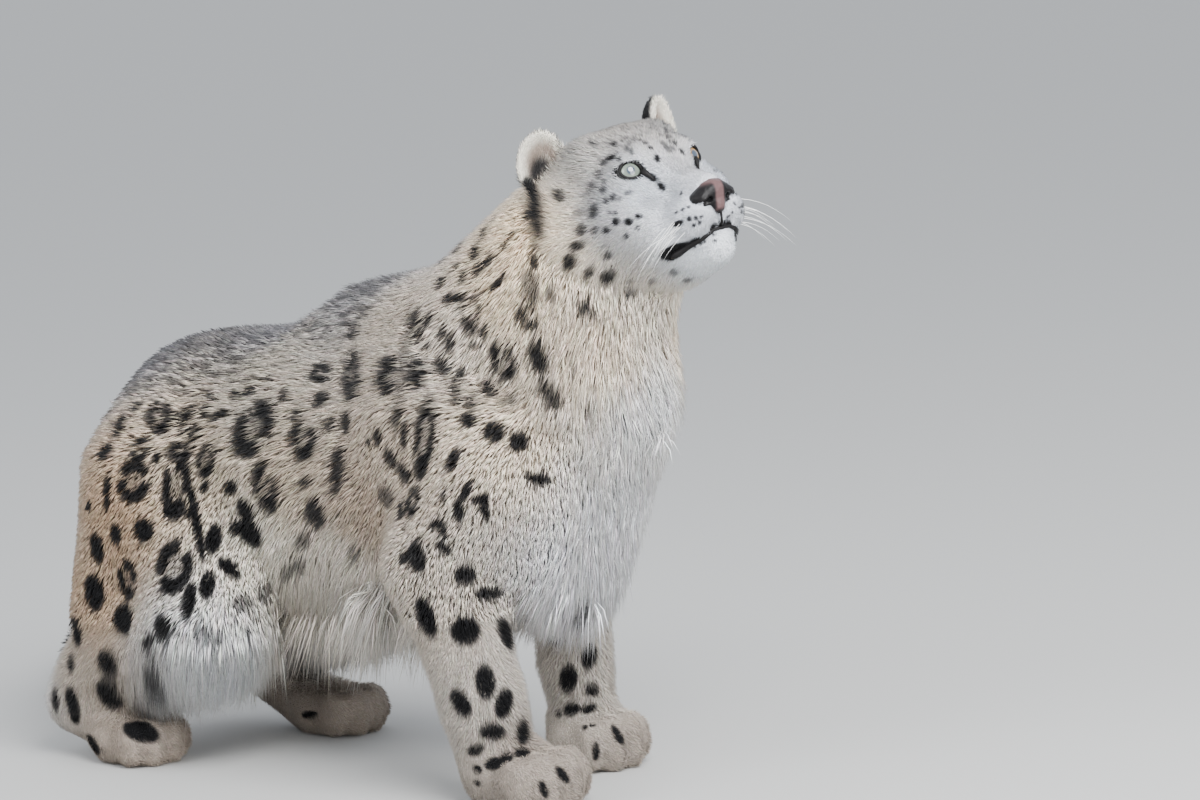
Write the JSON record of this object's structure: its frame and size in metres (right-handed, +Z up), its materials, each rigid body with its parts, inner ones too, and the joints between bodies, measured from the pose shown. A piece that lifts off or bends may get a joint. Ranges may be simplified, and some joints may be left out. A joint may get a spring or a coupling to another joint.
{
  "type": "standing snow leopard",
  "caption": "Life-size snow leopard standing on level ground, head raised and turned, tail laid on the floor behind it.",
  "frame": {"origin": "on the floor, under the middle of the box around the whole animal", "axes": "+X the way the animal faces, +Y to its left, +Z up"},
  "size_m": [1.5404, 0.7532, 0.7608],
  "materials": {
    "coat": "soft fur, pale grey-cream with dark spots",
    "eye": "wet, clear over a grey-green iris",
    "nose_leather": "bare skin, matt"
  },
  "bodies": {
    "root": {"chest": "coat", "belly": "coat", "rump": "coat", "neck": "coat", "eye_right": "eye", "eye_left": "eye", "head": "coat", "nose": "nose_leather", "ear_right": "coat", "ear_left": "coat", "shoulder_right": "coat", "leg_fore_right": "coat", "paw_fore_right": "coat", "shoulder_left": "coat", "leg_fore_left": "coat", "paw_fore_left": "coat", "thigh_right": "coat", "leg_hind_right": "coat", "paw_hind_right": "coat", "thigh_left": "coat", "leg_hind_left": "coat", "paw_hind_left": "coat", "tail_base": "coat", "tail_middle": "coat", "tail_tip": "coat"}
  },
  "joints": []
}
